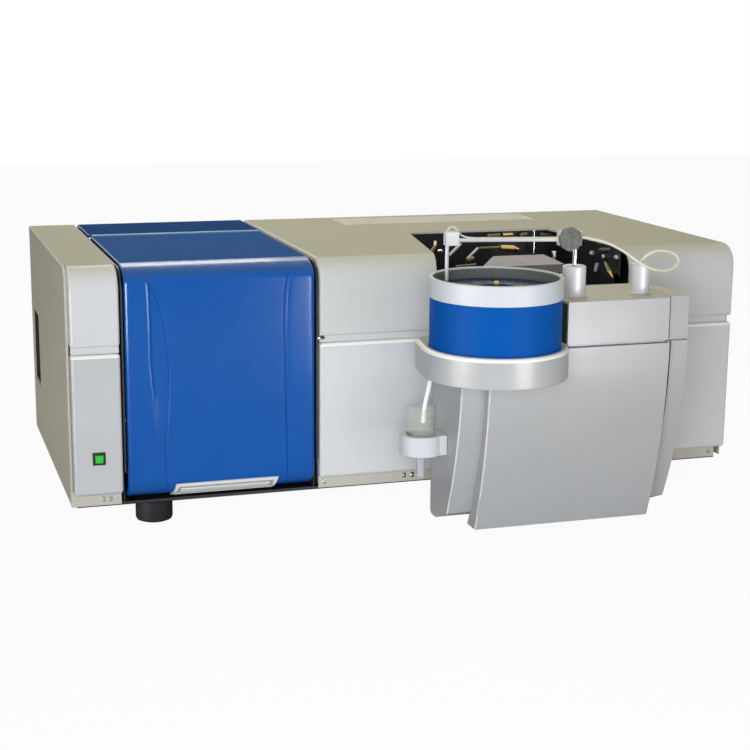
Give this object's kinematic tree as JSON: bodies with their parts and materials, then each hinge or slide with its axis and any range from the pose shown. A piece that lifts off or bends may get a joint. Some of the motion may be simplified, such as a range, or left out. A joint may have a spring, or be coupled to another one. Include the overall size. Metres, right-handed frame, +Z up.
{
  "type": "atomic absorption spectrometer",
  "caption": "Bench spectrometer housing with a hinged lamp door, furnace opening, drum autosampler with swinging needle arm, rinse cup and hanging front case.",
  "frame": {"origin": "middle of the footprint of the whole object, housing and autosampler, at the height of the bench top", "axes": "+X to the right end as seen from the front, +Y to the rear, +Z up"},
  "size_m": [1.03, 0.799, 0.4438],
  "materials": {
    "panel_grey": "light cool grey moulded plastic, satin",
    "sheet_beige": "warm grey paint",
    "door_blue": "saturated blue, semi-gloss",
    "white_plastic": "white, satin",
    "soft_tube": "milky fluoropolymer",
    "black_metal": "black powder coat",
    "black_plastic": "black",
    "button_green": "lit green",
    "foot_rubber": "black",
    "steel": "brushed",
    "alloy": "satin",
    "contact_brass": "satin",
    "graphite": "graphite grey",
    "lamp_glass": "clear",
    "grating_mirror": "ruled mirror",
    "board_green": "solder mask green",
    "tray_navy": "glossy navy",
    "knob_grey": "mid grey, knurled edge"
  },
  "bodies": {
    "instrument": {"left_upper_front_panel": "panel_grey", "left_lower_front_panel": "panel_grey", "right_top_cover": "panel_grey", "right_lower_front_panel": "panel_grey", "sampler_back_shell": "panel_grey", "sampler_front_shell": "panel_grey", "sampler_top_cover": "panel_grey", "left_side_panel": "sheet_beige", "right_side_panel": "sheet_beige", "rear_panel": "sheet_beige", "rear_blue_cover": "door_blue", "drum_wall": "door_blue", "top_vent_grille": "white_plastic", "drum_rim": "white_plastic", "drum_collar": "white_plastic", "mast_housing": "white_plastic", "dispenser_post": "white_plastic", "rinse_cup_holder": "white_plastic", "free_capillary": "soft_tube", "rinse_tube": "soft_tube", "base_chassis": "black_metal", "side_recess_tray": "black_metal", "lamp_bay_left_wall": "black_metal", "lamp_bay_right_wall": "black_metal", "furnace_well": "black_metal", "power_button_bezel": "black_plastic", "power_inlet": "black_plastic", "fan_frame": "black_plastic", "photomultiplier_housing": "black_plastic", "foot_front_left": "foot_rubber", "foot_front_right": "foot_rubber", "foot_rear_left": "foot_rubber", "foot_rear_right": "foot_rubber", "door_hinge_rod": "steel", "sampler_bracket": "steel", "furnace_magnet_block": "steel", "turret_motor": "steel", "tray_motor": "steel", "optical_bench": "alloy", "power_supply": "alloy", "monochromator_case": "alloy", "furnace_contact_left": "contact_brass", "furnace_contact_right": "contact_brass", "graphite_tube": "graphite", "circuit_board": "board_green"},
    "lamp_door": {"lamp_door": "door_blue", "door_handle_lip": "white_plastic"},
    "power_button": {"power_button": "button_green"},
    "lamp_turret": {"lamp_turret": "alloy", "hollow_cathode_lamp_1": "lamp_glass", "hollow_cathode_lamp_2": "lamp_glass", "hollow_cathode_lamp_3": "lamp_glass"},
    "sample_tray": {"sample_tray": "tray_navy"},
    "mast": {"mast_rod": "steel"},
    "sampler_arm": {"sampler_arm": "white_plastic", "sampling_needle": "soft_tube"},
    "clamp_knob": {"arm_clamp_knob": "knob_grey"},
    "rinse_cup": {"rinse_cup": "lamp_glass"},
    "fan_rotor": {"fan_rotor": "black_plastic"},
    "grating": {"diffraction_grating": "grating_mirror"}
  },
  "joints": [
    {"name": "lamp_door_hinge", "type": "hinge", "parent": "instrument", "child": "lamp_door", "pos_m": [-0.298, 0.2475, 0.376], "axis": [-1, 0, 0], "range_deg": [0, 75]},
    {"name": "power_button_press", "type": "slide", "parent": "instrument", "child": "power_button", "axis": [0, 1, 0], "range_m": [0, 0.0025], "stiffness_N_per_m": 600},
    {"name": "lamp_turret_turn", "type": "hinge", "parent": "instrument", "child": "lamp_turret", "pos_m": [-0.385, -0.02956, 0.31127], "axis": [1, 0, 0], "continuous": true},
    {"name": "sample_tray_turn", "type": "hinge", "parent": "instrument", "child": "sample_tray", "pos_m": [0.036, -0.2995, 0.364], "axis": [0, 0, 1], "continuous": true},
    {"name": "mast_lift", "type": "slide", "parent": "instrument", "child": "mast", "axis": [0, 0, 1], "range_m": [0, 0.045]},
    {"name": "arm_swing", "type": "hinge", "parent": "mast", "child": "sampler_arm", "pos_m": [0.171, -0.2535, 0.4235], "axis": [0, 0, -1], "range_deg": [0, 86.1]},
    {"name": "clamp_knob_turn", "type": "hinge", "parent": "sampler_arm", "child": "clamp_knob", "pos_m": [0.15903, -0.25269, 0.4235], "axis": [-0.0674, -0.9977, 0], "range_deg": [0, 180]},
    {"name": "rinse_cup_lift", "type": "slide", "parent": "instrument", "child": "rinse_cup", "axis": [0, 0, 1], "range_m": [0, 0.025]},
    {"name": "fan_spin", "type": "hinge", "parent": "instrument", "child": "fan_rotor", "pos_m": [0.175, 0.3815, 0.192], "axis": [0, 1, 0], "continuous": true},
    {"name": "grating_turn", "type": "hinge", "parent": "instrument", "child": "grating", "pos_m": [0.425, 0.1515, 0.244], "axis": [0, 0, 1], "range_deg": [-20, 20]}
  ]
}
